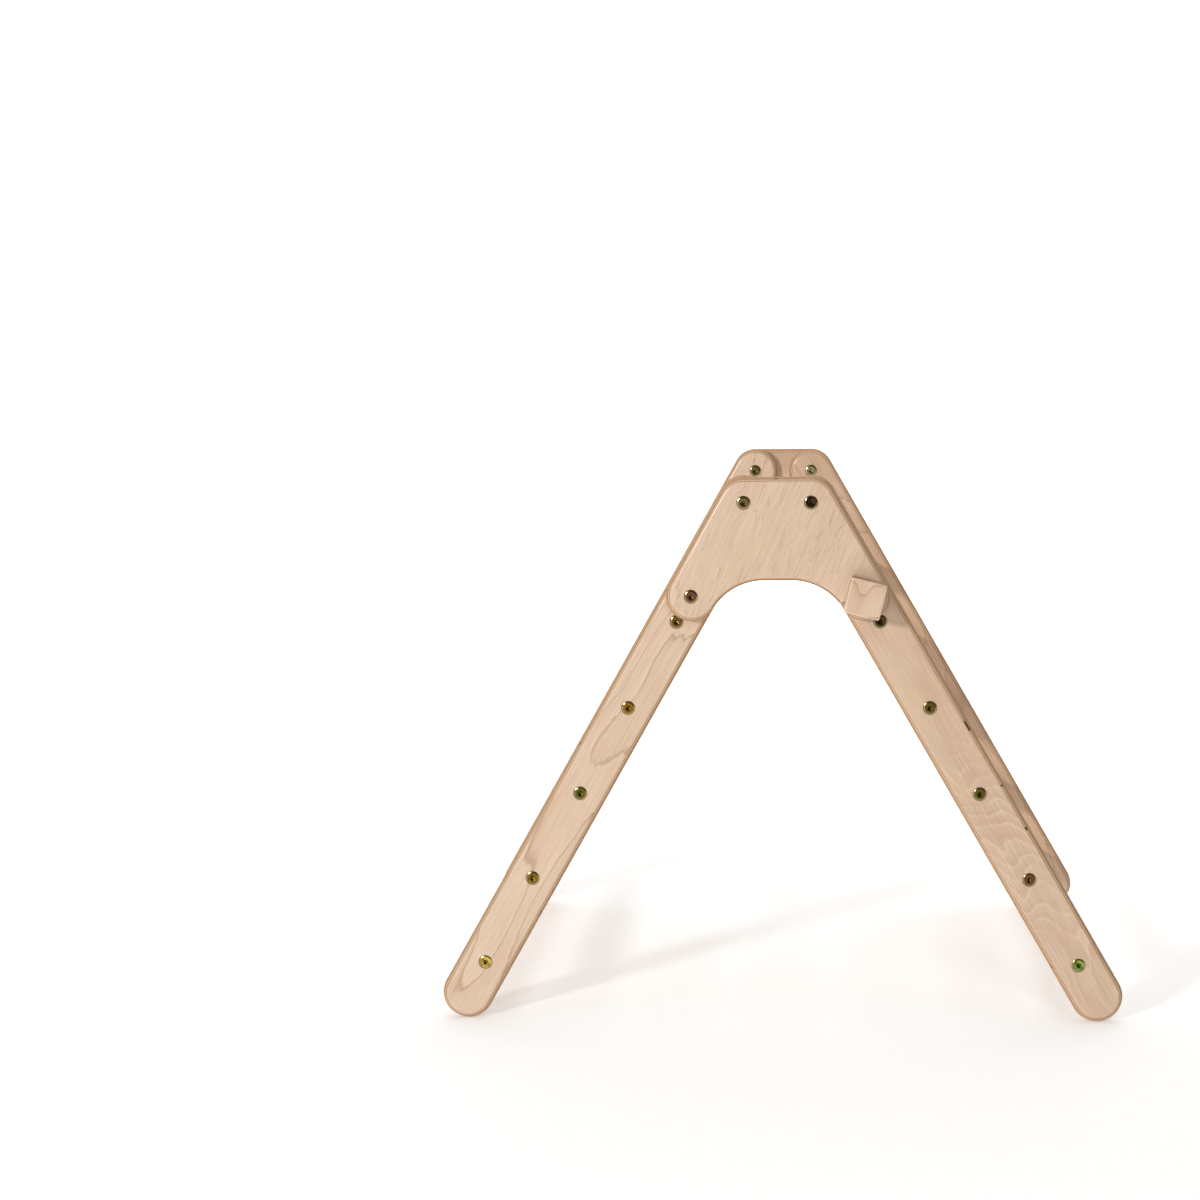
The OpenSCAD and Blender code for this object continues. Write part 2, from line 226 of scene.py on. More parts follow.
    # the lacquer shines on the veneer; the open plies soak it up
    n.put(bsdf.inputs["Coat Weight"], n.mul(n.sub(1.0, below), 0.8))
    bsdf.inputs["Coat Roughness"].default_value = 0.25
    height = n.sub(n.sub(n.mul(fibre, 0.35), n.mul(line, 0.30)), n.mul(below, n.add(n.mul(glue, 0.5), n.add(n.mul(cross, 0.35), n.mul(void, 2.0)))))
    b = n.new("ShaderNodeBump")
    b.inputs["Strength"].default_value = 0.2
    b.inputs["Distance"].default_value = 0.00025
    n.put(b.inputs["Height"], height)
    n.put(bsdf.inputs["Normal"], b.outputs[0])
    return m


def close_figure(n, u, v, lay, flame):
    """Many thin lines along the grain, coming and going."""
    u = n.add(u, n.mul(flame, 1.6))
    v1 = n.add(v, n.mul(n.sub(n.noise(n.vec(n.mul(u, 9.0), n.mul(v, 22.0), lay), 1.0, 3.0, 0.55), 0.5), 0.021))
    field = n.add(n.mul(v1, 92.0), n.mul(n.noise(n.vec(n.mul(u, 7.5), n.mul(v1, 17.0), n.add(lay, 7.3)), 1.0, 3.0, 0.5), 9.5))
    field = n.add(field, n.mul(n.noise(n.vec(n.mul(u, 14.0), n.mul(v1, 120.0), n.add(lay, 1.9)), 1.0, 1.0, 0.5), 1.5))
    strength = n.step(n.noise(n.vec(n.mul(u, 8.0), n.mul(v, 60.0), n.add(lay, 11.0)), 1.0, 2.0, 0.5), 0.28, 0.72, 0.20, 0.9)
    return field, strength


def open_figure(n, u, v, lay, flame):
    """Few lines, long and wavy, with cathedral shapes here and there."""
    u = n.add(u, flame)
    v1 = n.add(v, n.mul(n.sub(n.noise(n.vec(n.mul(u, 8.0), n.mul(v, 24.0), lay), 1.0, 3.0, 0.55), 0.5), 0.014))
    field = n.add(n.mul(v1, 26.0), n.mul(n.noise(n.vec(n.mul(u, 3.0), n.mul(v1, 12.0), n.add(lay, 7.3)), 1.0, 1.0, 0.45), 7.0))
    strength = n.step(n.noise(n.vec(n.mul(u, 6.0), n.mul(v, 30.0), n.add(lay, 11.0)), 1.0, 2.0, 0.5), 0.24, 0.50, 0.20, 1.0)
    return field, strength


def curly_figure(at_u, at_v):
    """Plain at the top; soft waves across the board lower down, turning to run along it at the foot."""
    def figure(n, u, v, lay, flame):
        s, x = n.sub(at_u, u), n.sub(v, at_v)
        slow = n.noise(n.vec(n.mul(s, 9.0), n.mul(x, 20.0), lay), 1.0, 1.0, 0.5)
        wob = n.noise(n.vec(n.mul(s, 22.0), n.mul(x, 40.0), n.add(lay, 4.0)), 1.0, 1.0, 0.5)
        down = n.new("ShaderNodeMath", operation="SMOOTH_MIN")
        for i, value in enumerate((s, 0.62, 0.12)):
            n.put(down.inputs[i], value)
        across = n.step(s, 0.52, 0.68, 0.46, 1.0)
        field = n.add(n.mul(n.add(n.mul(down.outputs[0], 0.86), n.mul(x, across)), 56.0), n.add(n.mul(slow, 5.0), n.mul(wob, 1.7)))
        here = n.step(s, 0.30, 0.46, 0.10, 1.0)
        patchy = n.step(n.noise(n.vec(n.mul(s, 20.0), n.mul(x, 34.0), n.add(lay, 11.0)), 1.0, 2.0, 0.5), 0.36, 0.60, 0.15, 1.0)
        return field, n.mul(here, patchy)
    return figure


def solid_wood(name, face, dark, field_of, line_amount, coat):
    m, n, bsdf = material(name)
    u, v, w = n.xyz(n.attr("grain"))
    lay = n.attr("lay", "Fac")
    tone = n.attr("tone", "Fac")
    field = field_of(n, u, v, w, lay)
    saw = n.math("FRACT", field)
    line = n.mul(n.add(n.mul(n.math("POWER", saw, 5.0), 0.55), n.mul(n.step(saw, 0.88, 0.97), 0.45)), n.step(saw, 0.975, 1.0, 1.0, 0.0))
    fibre = n.noise(n.vec(n.mul(u, 60.0), n.mul(v, 1500.0), n.mul(w, 1500.0)), 1.0, 3.0, 0.6)
    fleck = n.step(n.noise(n.vec(n.mul(u, 320.0), n.mul(v, 2200.0), n.mul(w, 2200.0)), 1.0, 1.0, 0.5), 0.66, 0.78)
    cloud = n.noise(n.vec(n.mul(u, 6.0), n.mul(v, 30.0), n.add(n.mul(w, 30.0), lay)), 1.0, 2.0, 0.5)
    col = n.mix(n.step(n.add(n.sub(cloud, 0.5), n.mul(tone, 0.5)), -0.3, 0.5), PALE, face)
    col = n.mix(n.mul(line, line_amount), col, dark)
    col = n.mix(n.step(fibre, 0.35, 0.72, 0.0, 0.20), col, dark)
    col = n.mix(n.mul(fleck, 0.30), col, PLY_DARK)
    # above nought: the side walls, darker and dull, most on the end grain: painted shade, partly the end grain's own
    # colour; below nought: a paler band round the face's edge, a painted highlight
    painted_light = n.attr("painted_light", "Fac")
    dull = n.step(painted_light, 0.0, 0.6)
    col = n.mix(n.mul(n.step(painted_light, 0.0, 1.0), n.add(0.62, n.mul(fibre, 0.30))), col, srgb(132, 96, 68))
    col = n.mix(n.step(painted_light, 0.0, -1.0, 0.0, 0.40), col, srgb(248, 228, 202))
    n.put(bsdf.inputs["Base Color"], col)
    n.put(bsdf.inputs["Roughness"], n.add(n.mul(dull, 0.34), n.add(0.42, n.mul(fibre, 0.14))))
    bsdf.inputs["Specular IOR Level"].default_value = 0.42
    n.put(bsdf.inputs["Coat Weight"], n.mul(n.sub(1.0, dull), coat))
    bsdf.inputs["Coat Roughness"].default_value = 0.24
    b = n.new("ShaderNodeBump")
    b.inputs["Strength"].default_value = 0.22
    b.inputs["Distance"].default_value = 0.00025
    n.put(b.inputs["Height"], n.sub(n.mul(fibre, 0.4), n.mul(line, 0.3)))
    n.put(bsdf.inputs["Normal"], b.outputs[0])
    return m


def rung_field(n, u, v, w, lay):
    # growth rings seen on a turned bar: rings about an axis off to one side
    wob = n.mul(n.sub(n.noise(n.vec(n.mul(u, 7.0), n.mul(v, 30.0), n.add(n.mul(w, 30.0), lay)), 1.0, 2.0, 0.5), 0.5), 0.012)
    a, b = n.add(v, 0.031), n.add(w, 0.017)
    r = n.math("SQRT", n.add(n.mul(a, a), n.mul(b, b)))
    return n.mul(n.add(r, wob), 300.0)


def knob_field(n, u, v, w, lay):
    """One arch hanging from the top edge, with wings at both sides, then open wood."""
    wob = n.mul(n.sub(n.noise(n.vec(n.mul(u, 60.0), n.mul(v, 90.0), lay), 1.0, 2.0, 0.5), 0.5), 0.003)
    q = n.math("DIVIDE", n.add(v, 0.0058), 0.0068)
    q2 = n.mul(q, q)
    dip = n.math("DIVIDE", 0.0150, n.add(1.0, n.mul(q2, q2)))
    crest = n.add(0.0195, n.mul(n.math("MAXIMUM", v, 0.0), 0.22))
    return n.add(0.985, n.mul(n.sub(n.sub(n.add(u, n.mul(w, 0.12)), n.sub(crest, dip)), wob), 24.0))


def metal(name, rough):
    """Plated steel. Each piece carries two tints, which a cloudy film mixes."""
    m, n, bsdf = material(name)
    g = n.attr("grain")
    cloud = n.noise(g, 190.0, 2.0, 0.5, 0.8)
    fine = n.noise(g, 900.0, 2.0, 0.6)
    col = n.mix(n.step(cloud, 0.40, 0.62), n.attr("tint", "Color"), n.attr("tint2", "Color"))
    # painted shade: dark in the socket and round the head's outer rim
    col = n.mix(n.mul(n.attr("painted_light", "Fac"), 0.9), col, srgb(20, 17, 11))
    col = n.mix(n.step(fine, 0.55, 0.8, 0.0, 0.10), col, srgb(150, 136, 84))
    n.put(bsdf.inputs["Base Color"], col)
    bsdf.inputs["Metallic"].default_value = 1.0
    bsdf.inputs["Coat Weight"].default_value = 0.3
    bsdf.inputs["Coat Roughness"].default_value = 0.12
    n.put(bsdf.inputs["Roughness"], n.add(n.mul(cloud, 0.14), rough))
    b = n.new("ShaderNodeBump")
    b.inputs["Strength"].default_value = 0.10
    b.inputs["Distance"].default_value = 0.0001
    n.put(b.inputs["Height"], fine)
    n.put(bsdf.inputs["Normal"], b.outputs[0])
    return m


PLY_PLATE = plywood(close_figure, 0.66, 0.24)
PLY_LEFT = plywood(open_figure, 0.60, 0.24)
PLY_RIGHT = plywood(curly_figure(2.62, 0.731), 0.44, 0.97, [(2.279, 0.010, 0.716), (2.127, 0.0025, 0.716), (2.19, 0.0018, 0.716)], 0.74)
RUNG = solid_wood("rung_wood", srgb(222, 188, 150), srgb(176, 128, 88), rung_field, 0.42, 0.35)
KNOB = solid_wood("knob_wood", srgb(214, 180, 150), srgb(160, 112, 76), knob_field, 0.62, 0.8)
GOLD = metal("yellow_zinc", 0.14)
ZINC = metal("bright_zinc", 0.24)
SILVER = (srgb(188, 190, 188), srgb(168, 170, 168))


# ------------------------------------------------------------------ mesh helpers
def finish_mesh(name, verts, faces, mat, body, replaced, grain, tone=0.5, lay=0.0, painted_light=None, sharp=32.0, mirrored=False, cutter=None, tint=None):
    """Makes the object, takes a cutter off it, shades it and stores its grain coordinates."""
    if mirrored:
        verts = [(x, -y, z) for x, y, z in verts]
        faces = [tuple(reversed(f)) for f in faces]
    me = bpy.data.meshes.new(name)
    me.from_pydata([tuple(v) for v in verts], [], faces)
    bm = bmesh.new()
    bm.from_mesh(me)
    bmesh.ops.remove_doubles(bm, verts=bm.verts, dist=1e-7)
    bmesh.ops.recalc_face_normals(bm, faces=bm.faces)
    bm.to_mesh(me)
    bm.free()
    ob = bpy.data.objects.new(name, me)
    bpy.context.scene.collection.objects.link(ob)
    if cutter is not None:
        mod = ob.modifiers.new("cut", "BOOLEAN")
        mod.operation, mod.solver, mod.object = "DIFFERENCE", "EXACT", cutter
        bpy.context.view_layer.update()
        made = bpy.data.meshes.new_from_object(ob.evaluated_get(bpy.context.evaluated_depsgraph_get()))
        ob.modifiers.clear()
        ob.data = made
        made.name = name
        bpy.data.meshes.remove(me)
        me = made
    bm = bmesh.new()
    bm.from_mesh(me)
    limit = math.radians(sharp)
    for e in bm.edges:
        e.smooth = len(e.link_faces) == 2 and e.calc_face_angle(0.0) < limit
    for f in bm.faces:
        f.smooth = True
    bm.to_mesh(me)
    bm.free()
    places = [v.co.copy() for v in me.vertices]
    for key, kind, field, values in (
        ("grain", "FLOAT_VECTOR", "vector", [x for p in places for x in grain(p)]),
        ("tone", "FLOAT", "value", [tone(p) if callable(tone) else tone for p in places]),
        ("lay", "FLOAT", "value", [lay] * len(places)),
        ("painted_light", "FLOAT", "value", [painted_light(p) if painted_light else 0.0 for p in places]),
    ):
        me.attributes.new(key, kind, "POINT")
        me.attributes[key].data.foreach_set(field, values)
    if tint:
        pairs = [tint(p) for p in places]
        for key, i in (("tint", 0), ("tint2", 1)):
            me.attributes.new(key, "FLOAT_COLOR", "POINT")
            me.attributes[key].data.foreach_set("color", [x for pair in pairs for x in (*pair[i], 1.0)])
    me.materials.clear()
    me.materials.append(mat)
    mod = ob.modifiers.new("normals", "WEIGHTED_NORMAL")
    mod.mode, mod.weight, mod.keep_sharp = "FACE_AREA", 100, True
    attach(ob, body)
    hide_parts(*replaced)
    return ob


def arc(c, r, a0, a1, n, outward=1, ends=True):
    """Points of an arc with the normals of a board that lies inside it (outward 1) or outside it (-1)."""
    made = []
    for i in range(n + 1):
        a = a0 + (a1 - a0) * i / n
        if not ends and i in (0, n):
            continue
        made.append((c[0] + r * math.cos(a), c[1] + r * math.sin(a), outward * math.cos(a), outward * math.sin(a)))
    return made


def run(p, q, nx, nz, step=0.015):
    n = max(2, int(math.dist(p, q) / step))
    return [(p[0] + (q[0] - p[0]) * i / n, p[1] + (q[1] - p[1]) * i / n, nx, nz) for i in range(1, n)]


def rail_outline(side):
    a, b = on_leg(side, 0), on_leg(side, RAIL_LEN)
    up = math.atan2(a[1] - b[1], a[0] - b[0])
    out = arc(a, RAIL_R, up - math.pi / 2, up + math.pi / 2, 48)
    n = (math.cos(up + math.pi / 2), math.sin(up + math.pi / 2))
    out += run((a[0] + RAIL_R * n[0], a[1] + RAIL_R * n[1]), (b[0] + RAIL_R * n[0], b[1] + RAIL_R * n[1]), *n)
    out += arc(b, RAIL_R, up + math.pi / 2, up + 3 * math.pi / 2, 48)
    out += run((b[0] - RAIL_R * n[0], b[1] - RAIL_R * n[1]), (a[0] - RAIL_R * n[0], a[1] - RAIL_R * n[1]), -n[0], -n[1])
    return out


ARC_DX, ARC_DZ = LOCK_P[0] - FLAT, CREST - LOCK_P[1]
ARCH_R = (ARC_DX ** 2 + ARC_DZ ** 2 - LOBE ** 2) / (2 * (LOBE + ARC_DZ))
ARC_C = (FLAT, CREST - ARCH_R)
ARC_A = math.atan2(LOCK_P[1] - ARC_C[1], LOCK_P[0] - ARC_C[0])


def plate_outline():
    """Points with their normals, and how much of the full rounding each has: less of it along the arch."""
    ul, ur, ll, lr = on_leg(-1, 0), on_leg(1, 0), on_leg(-1, LOCK), on_leg(1, LOCK)
    g, q = LEG, math.pi
    edge = lambda c, a: (c[0] + LOBE * math.cos(a), c[1] + LOBE * math.sin(a))
    fade = [0.72 + 0.28 * min(1.0, i / 15) for i in range(45)]
    out = arc(lr, LOBE, ARC_A - q, g, 44)
    share = list(fade)
    out += run(edge(lr, g), edge(ur, g), math.cos(g), math.sin(g), 0.008)
    out += arc(ur, LOBE, g, q / 2, 20)
    out += run(edge(ur, q / 2), edge(ul, q / 2), 0.0, 1.0, 0.008)
    out += arc(ul, LOBE, q / 2, q - g, 20)
    out += run(edge(ul, q - g), edge(ll, q - g), -math.cos(g), math.sin(g), 0.008)
    share += [1.0] * (len(out) - len(share))
    out += arc(ll, LOBE, q - g, 2 * q - ARC_A, 44)
    share += fade[::-1]
    left = (-ARC_C[0], ARC_C[1])
    out += arc(left, ARCH_R, q - ARC_A, q / 2, 30, -1)[1:]
    out += run((-FLAT, CREST), (FLAT, CREST), 0.0, -1.0, 0.006)
    out += arc(ARC_C, ARCH_R, q / 2, ARC_A, 30, -1)[:-1]
    share += [0.72] * (len(out) - len(share))
    return out, share


def ring(c, r, n=40):
    return [(c[0] + r * math.cos(2 * math.pi * i / n), c[1] + r * math.sin(2 * math.pi * i / n)) for i in range(n)]


def board_mesh(outline, holes, y0, t, r0, seed, blind=False, share=None, profile=None):
    """A board between y0 and y0 + t. holes: (centre, [(radius, depth from the front), ...]), from depth 0 to t;
    blind ones start with their floor inside the board. share scales the edge's rounding point by point.
    profile: (inset, depth) steps from the flat face to the side, as parts of r0; a quarter circle if there is none."""
    verts, faces = [], []
    if profile is None:
        profile = [(1 - math.sin(k / 10 * math.pi / 2), 1 - math.cos(k / 10 * math.pi / 2)) for k in range(11)]
    K, N = len(profile) - 1, len(outline)
    share = share or [1.0] * N
    rad = []
    for (x, z, nx, nz), part in zip(outline, share):
        q = noise.noise(Vector((x * 18, seed * 5.1, z * 18)))
        rad.append(r0 * part * (1 + 0.04 * q))
    rings = []
    for back in (False, True):
        ks = range(K, -1, -1) if back else range(K + 1)
        for k in ks:
            ids = []
            for (x, z, nx, nz), r in zip(outline, rad):
                inset, depth = r * profile[k][0], r * profile[k][1]
                ids.append(len(verts))
                verts.append((x - nx * inset, y0 + t - depth if back else y0 + depth, z - nz * inset))
            rings.append(ids)
    for a, b in zip(rings, rings[1:]):
        for j in range(N):
            k = (j + 1) % N
            faces.append((a[j], a[k], b[k], b[j]))
    walls = []
    for c, prof in holes:
        own = []
        for r, d in prof:
            ids = []
            for x, z in ring(c, r):
                ids.append(len(verts))
                verts.append((x, y0 + d, z))
            own.append(ids)
        for a, b in zip(own, own[1:]):
            for j in range(len(a)):
                k = (j + 1) % len(a)
                faces.append((a[j], b[j], b[k], a[k]))
        walls.append((c, own, prof))
        if blind:
            faces.append(tuple(own[0]))
    for outer, which, flip in ((rings[0], 0, False), (rings[-1], -1, True)):
        ids = list(outer)
        edges = [(j, (j + 1) % N) for j in range(N)]
        open_here = walls if not (blind and which == 0) else []
        for c, own, prof in open_here:
            base = len(ids)
            h = own[which]
            ids += h
            edges += [(base + j, base + (j + 1) % len(h)) for j in range(len(h))]
        flat = [Vector((verts[i][0], verts[i][2])) for i in ids]
        got = delaunay_2d_cdt(flat, edges, [], 1, 1e-9)
        assert len(got[0]) == len(flat)
        for tri in got[2]:
            mx = sum(got[0][i].x for i in tri) / len(tri)
            mz = sum(got[0][i].y for i in tri) / len(tri)
            if any(math.hypot(mx - c[0], mz - c[1]) < prof[which][0] * 0.99 for c, own, prof in open_here):
                continue
            f = tuple(ids[got[3][i][0]] for i in tri)
            faces.append(tuple(reversed(f)) if flip else f)
    return verts, faces


def grain_map(origin, angle, y0, mirrored, du, dv):
    """Board coordinates: along the grain, across it, and depth from the outer face."""
    ca, sa = math.cos(angle), math.sin(angle)

    def f(co):
        x, z = co.x - origin[0], co.z - origin[1]
        y = -co.y if mirrored else co.y
        return (x * ca + z * sa + du, -x * sa + z * ca + dv, y - y0)
    return f


def head_sink(c, t, inner):
    s = 8.75 * MM
    return (c, [(s + 0.4 * MM, 0.0), (s + 0.1 * MM, 0.2 * MM), (s, 0.45 * MM), (s, SINK), (inner, SINK), (inner, t)])


def back_sink(c, t, inner):
    s = 8.75 * MM
    return (c, [(inner, 0.0), (inner, t - SINK), (s, t - SINK), (s, t - 0.45 * MM), (s + 0.1 * MM, t - 0.2 * MM), (s + 0.4 * MM, t)])


# ------------------------------------------------------------------ boards
def make_rail(name, side, mirrored, mat, tone, lay, du, dv):
    holes = [head_sink(on_leg(side, s), RAIL_T, 4.3 * MM) for s in RUNGS]
    if side < 0:
        y0 = OUT_Y
        holes += [back_sink(on_leg(side, s), RAIL_T, 5.1 * MM) for s in (0, LOCK)]
    else:
        y0 = SWING_Y
        holes.append((PIVOT_P, [(5.05 * MM, 0.0), (5.05 * MM, RAIL_T - 2.9 * MM), (8.8 * MM, RAIL_T - 2.9 * MM), (8.8 * MM, RAIL_T - 0.4 * MM), (9.2 * MM, RAIL_T)]))
        holes.append((LOCK_P, [(5.55 * MM, 0.0), (5.55 * MM, RAIL_T - 1.8 * MM), (9.7 * MM, RAIL_T - 1.8 * MM), (9.7 * MM, RAIL_T - 0.3 * MM), (10.0 * MM, RAIL_T)]))
    verts, faces = board_mesh(rail_outline(side), holes, y0, RAIL_T, EDGE, lay + du)
    a, b = on_leg(side, 0), on_leg(side, RAIL_LEN)
    ang = math.atan2(a[1] - b[1], a[0] - b[0])
    grain = grain_map(a, ang, y0, mirrored, du, dv)
    return finish_mesh(name + "_board", verts, faces, mat, "left_leg" if side < 0 else "right_leg", [name], grain, tone, lay, mirrored=mirrored)


def slot_cutter(mirrored):
    """Arc about the pivot, closed by a half circle at the lock point and open towards the arch."""
    a0 = math.atan2(LOCK_P[1] - PIVOT_P[1], LOCK_P[0] - PIVOT_P[0])
    w = 4.5 * MM
    out = []
    n = 16
    sweep = math.radians(32)
    for i in range(n + 1):
        a = a0 - sweep * i / n
        out.append((PIVOT_P[0] + (LOCK + w) * math.cos(a), PIVOT_P[1] + (LOCK + w) * math.sin(a)))
    for i in range(n, -1, -1):
        a = a0 - sweep * i / n
        out.append((PIVOT_P[0] + (LOCK - w) * math.cos(a), PIVOT_P[1] + (LOCK - w) * math.sin(a)))
    d = (math.cos(a0), math.sin(a0))
    s = (-d[1], d[0])
    for i in range(1, 12):
        a = math.pi * i / 12
        out.append((LOCK_P[0] - w * math.cos(a) * d[0] + w * math.sin(a) * s[0], LOCK_P[1] - w * math.cos(a) * d[1] + w * math.sin(a) * s[1]))
    y = (FACE_Y - 0.01, OUT_Y + 0.01)
    sg = -1 if mirrored else 1
    verts = [(x, sg * yy, z) for yy in y for x, z in out]
    m = len(out)
    faces = [tuple(range(m)), tuple(reversed(range(m, 2 * m)))] + [(j, j + m, (j + 1) % m + m, (j + 1) % m) for j in range(m)]
    me = bpy.data.meshes.new("slot_cutter")
    me.from_pydata(verts, [], faces)
    bm = bmesh.new()
    bm.from_mesh(me)
    bmesh.ops.recalc_face_normals(bm, faces=bm.faces)
    bm.to_mesh(me)
    bm.free()
    ob = bpy.data.objects.new("slot_cutter", me)
    bpy.context.scene.collection.objects.link(ob)
    return ob


def make_plate(name, mirrored, tone, lay, du, dv, grain_angle):
    holes = [head_sink(p, RAIL_T, 5.1 * MM) for p in (on_leg(-1, 0), on_leg(-1, LOCK), PIVOT_P)]
    outline, share = plate_outline()
    verts, faces = board_mesh(outline, holes, FACE_Y, RAIL_T, EDGE, lay + du, share=share)
    cutter = slot_cutter(mirrored)
    grain = grain_map((0.0, TOP - 0.06), grain_angle, FACE_Y, mirrored, du, dv)

    def arch_underside_shade(co):
        # marks the plies along the arch's underside, where painted shade goes
        x = max(abs(co.x) - FLAT, 0.0)
        above = math.hypot(x, co.z - ARC_C[1]) - ARCH_R
        return 1.0 if above < 5.1 * MM and abs(co.x) < LOCK_P[0] - 6 * MM and co.z > LOCK_P[1] - 12 * MM else 0.0
    ob = finish_mesh(name + "_board", verts, faces, PLY_PLATE, "left_leg", [name], grain, tone, lay, arch_underside_shade, mirrored=mirrored, cutter=cutter)
    bpy.data.objects.remove(cutter)
    return ob


make_rail("front_left_rail", -1, False, PLY_LEFT, 0.00, 1.7, 0.31, 0.113)
make_rail("rear_left_rail", -1, True, PLY_LEFT, 0.10, 8.2, 1.45, 0.402)
make_rail("front_right_rail", 1, False, PLY_RIGHT, 0.34, 4.4, 2.62, 0.731)
# the rear right rail's darker tone is painted shade
make_rail("rear_right_rail", 1, True, PLY_LEFT, 0.80, 6.1, 3.18, 0.958)
make_plate("front_hinge_plate", False, 0.05, 2.9, 4.07, 1.207, math.radians(66))
make_plate("rear_hinge_plate", True, 0.25, 5.3, 5.21, 1.541, math.radians(57))


# ------------------------------------------------------------------ turned pieces
def lathe(profile, place, n=48, six=0):
    """Turns (radius, height) pairs about the local axis. place maps (x, y, height) to the world.
    The first rings, as many as six says, follow a hexagon of that radius across its flats."""
    verts, faces, rings = [], [], []
    for k, (r, h) in enumerate(profile):
        ids = []
        for i in range(n):
            a = 2 * math.pi * i / n
            rr = r
            if k < six:
                b = (a + math.pi / 6) % (math.pi / 3) - math.pi / 6
                rr = r / math.cos(b)
            ids.append(len(verts))
            verts.append(place(rr * math.cos(a), rr * math.sin(a), h))
        rings.append(ids)
    for a, b in zip(rings, rings[1:]):
        for j in range(n):
            k = (j + 1) % n
            faces.append((a[j], a[k], b[k], b[j]))
    faces.append(tuple(reversed(rings[0])))
    faces.append(tuple(rings[-1]))
    return verts, faces


def join(parts):
    verts, faces = [], []
    for v, f in parts:
        base = len(verts)
        verts += v
        faces += [tuple(base + i for i in q) for q in f]
    return verts, faces


def at(p, y, front, spin=0.0):
    """Place for something whose height points out of the front (front True) or of the back."""
    s = -1 if front else 1
    cs, sn = math.cos(spin), math.sin(spin)
    return lambda x, z, h: (p[0] + (x * cs - z * sn), y + s * h, p[1] + (x * sn + z * cs))


HEAD = [
    (0.3, -1.9), (2.3, -0.9), (2.35, 1.62), (2.5, 1.84),
    (3.0, 2.02), (3.5, 2.16), (3.95, 2.23), (4.6, 2.27), (5.3, 2.28), (6.1, 2.27), (6.6, 2.23), (6.9, 2.14), (7.2, 2.04), (7.5, 1.93), (7.8, 1.81),
    (8.05, 1.69), (8.25, 1.56), (8.38, 1.38), (8.46, 1.1), (8.5, 0.8), (8.5, 0.25), (8.3, 0.0),
]
HEAD = [(r * MM, h * MM) for r, h in HEAD]


def bolt_mesh(p, y, front, length, spin):
    prof = HEAD + [(4.6 * MM, 0.0), (4.0 * MM, -0.5 * MM), (4.0 * MM, -(length - 0.8 * MM)), (3.3 * MM, -length)]
    return lathe(prof, at(p, y, front, spin), 48, 4)


def sleeve_mesh(p, y, front, spin):
    prof = HEAD + [(5.4 * MM, 0.0), (5.0 * MM, -0.4 * MM), (5.0 * MM, -25.6 * MM), (4.7 * MM, -26 * MM), (4.05 * MM, -26 * MM), (4.05 * MM, -4.5 * MM)]
    return lathe(prof, at(p, y, front, spin), 48, 4)


OLIVE = srgb(106, 90, 14)
GREEN = srgb(86, 88, 8)
LIME = srgb(136, 164, 80)
STRAW = srgb(212, 188, 80)
AMBER = srgb(144, 98, 14)
PLUM = srgb(116, 70, 54)
ASH = srgb(112, 108, 78)
BLACK = srgb(24, 20, 12)
UMBER = srgb(92, 68, 12)
PALE_TIN = srgb(176, 172, 130)
PAINTED_GLINT = srgb(240, 226, 168)


def fastener_group(name, parts, body, tints):
    """parts: (centre, y, front, mesh). Each piece has its own pair of film colours."""
    verts, faces = join([p[3] for p in parts])

    def nearest(co):
        return min(range(len(parts)), key=lambda i: (co.x - parts[i][0][0]) ** 2 + (co.z - parts[i][0][1]) ** 2 + ((co.y - parts[i][1]) * 0.2) ** 2)

    def grain(co):
        i = nearest(co)
        c = parts[i]
        return (co.x - c[0][0] + 0.013 * i, co.y - c[1], co.z - c[0][1] + 0.021 * i)

    def painted_light(co):
        c = parts[nearest(co)]
        r = math.hypot(co.x - c[0][0], co.z - c[0][1]) / MM
        h = (c[1] - co.y if c[2] else co.y - c[1]) / MM
        # socket walls and the head's outer rim: painted shade
        if r < 2.8:
            return 0.15 if h < -0.95 or h > 1.7 else 0.95
        if r > 8.42:
            return 0.85
        return 0.0

    def tint(co):
        # painted highlight: the film colours turn towards pale metal on the head's shoulder
        i = nearest(co)
        c, pair = parts[i], tints[i % len(tints)]
        r = math.hypot(co.x - c[0][0], co.z - c[0][1]) / MM
        h = (c[1] - co.y if c[2] else co.y - c[1]) / MM
        if 7.1 < r < 8.4 and h > 1.2:
            return tuple(tuple(0.55 * q + 0.45 * g for q, g in zip(col, PAINTED_GLINT)) for col in pair)
        return pair
    return finish_mesh(name + "_set", verts, faces, GOLD, body, [name], grain, 0.0, 0.0, painted_light, sharp=40.0, tint=tint)


def turn_of(i):
    return (i * 2.399 + 0.4) % (math.pi / 3)


def rung_bolts(name, side, y_out, body, tints):
    parts = []
    for k, front in enumerate((True, False)):
        for i, s in enumerate(RUNGS):
            p = on_leg(side, s)
            y = (y_out + SINK) * (1 if front else -1)
            parts.append((p, y, front, bolt_mesh(p, y, front, 50 * MM, turn_of(i + 5 * k))))
    return fastener_group(name, parts, body, tints)


rung_bolts("left_rung_bolts", -1, OUT_Y, "left_leg", [
    (OLIVE, PLUM), (AMBER, OLIVE), (GREEN, OLIVE), (GREEN, AMBER), (STRAW, AMBER),
    (OLIVE, GREEN), (AMBER, OLIVE), (PLUM, ASH), (OLIVE, STRAW), (GREEN, OLIVE)])
rung_bolts("right_rung_bolts", 1, SWING_Y, "right_leg", [
    (BLACK, UMBER), (UMBER, OLIVE), (GREEN, UMBER), (PLUM, UMBER), (LIME, GREEN),
    (OLIVE, ASH), (GREEN, OLIVE), (OLIVE, PLUM), (AMBER, STRAW), (OLIVE, GREEN)])


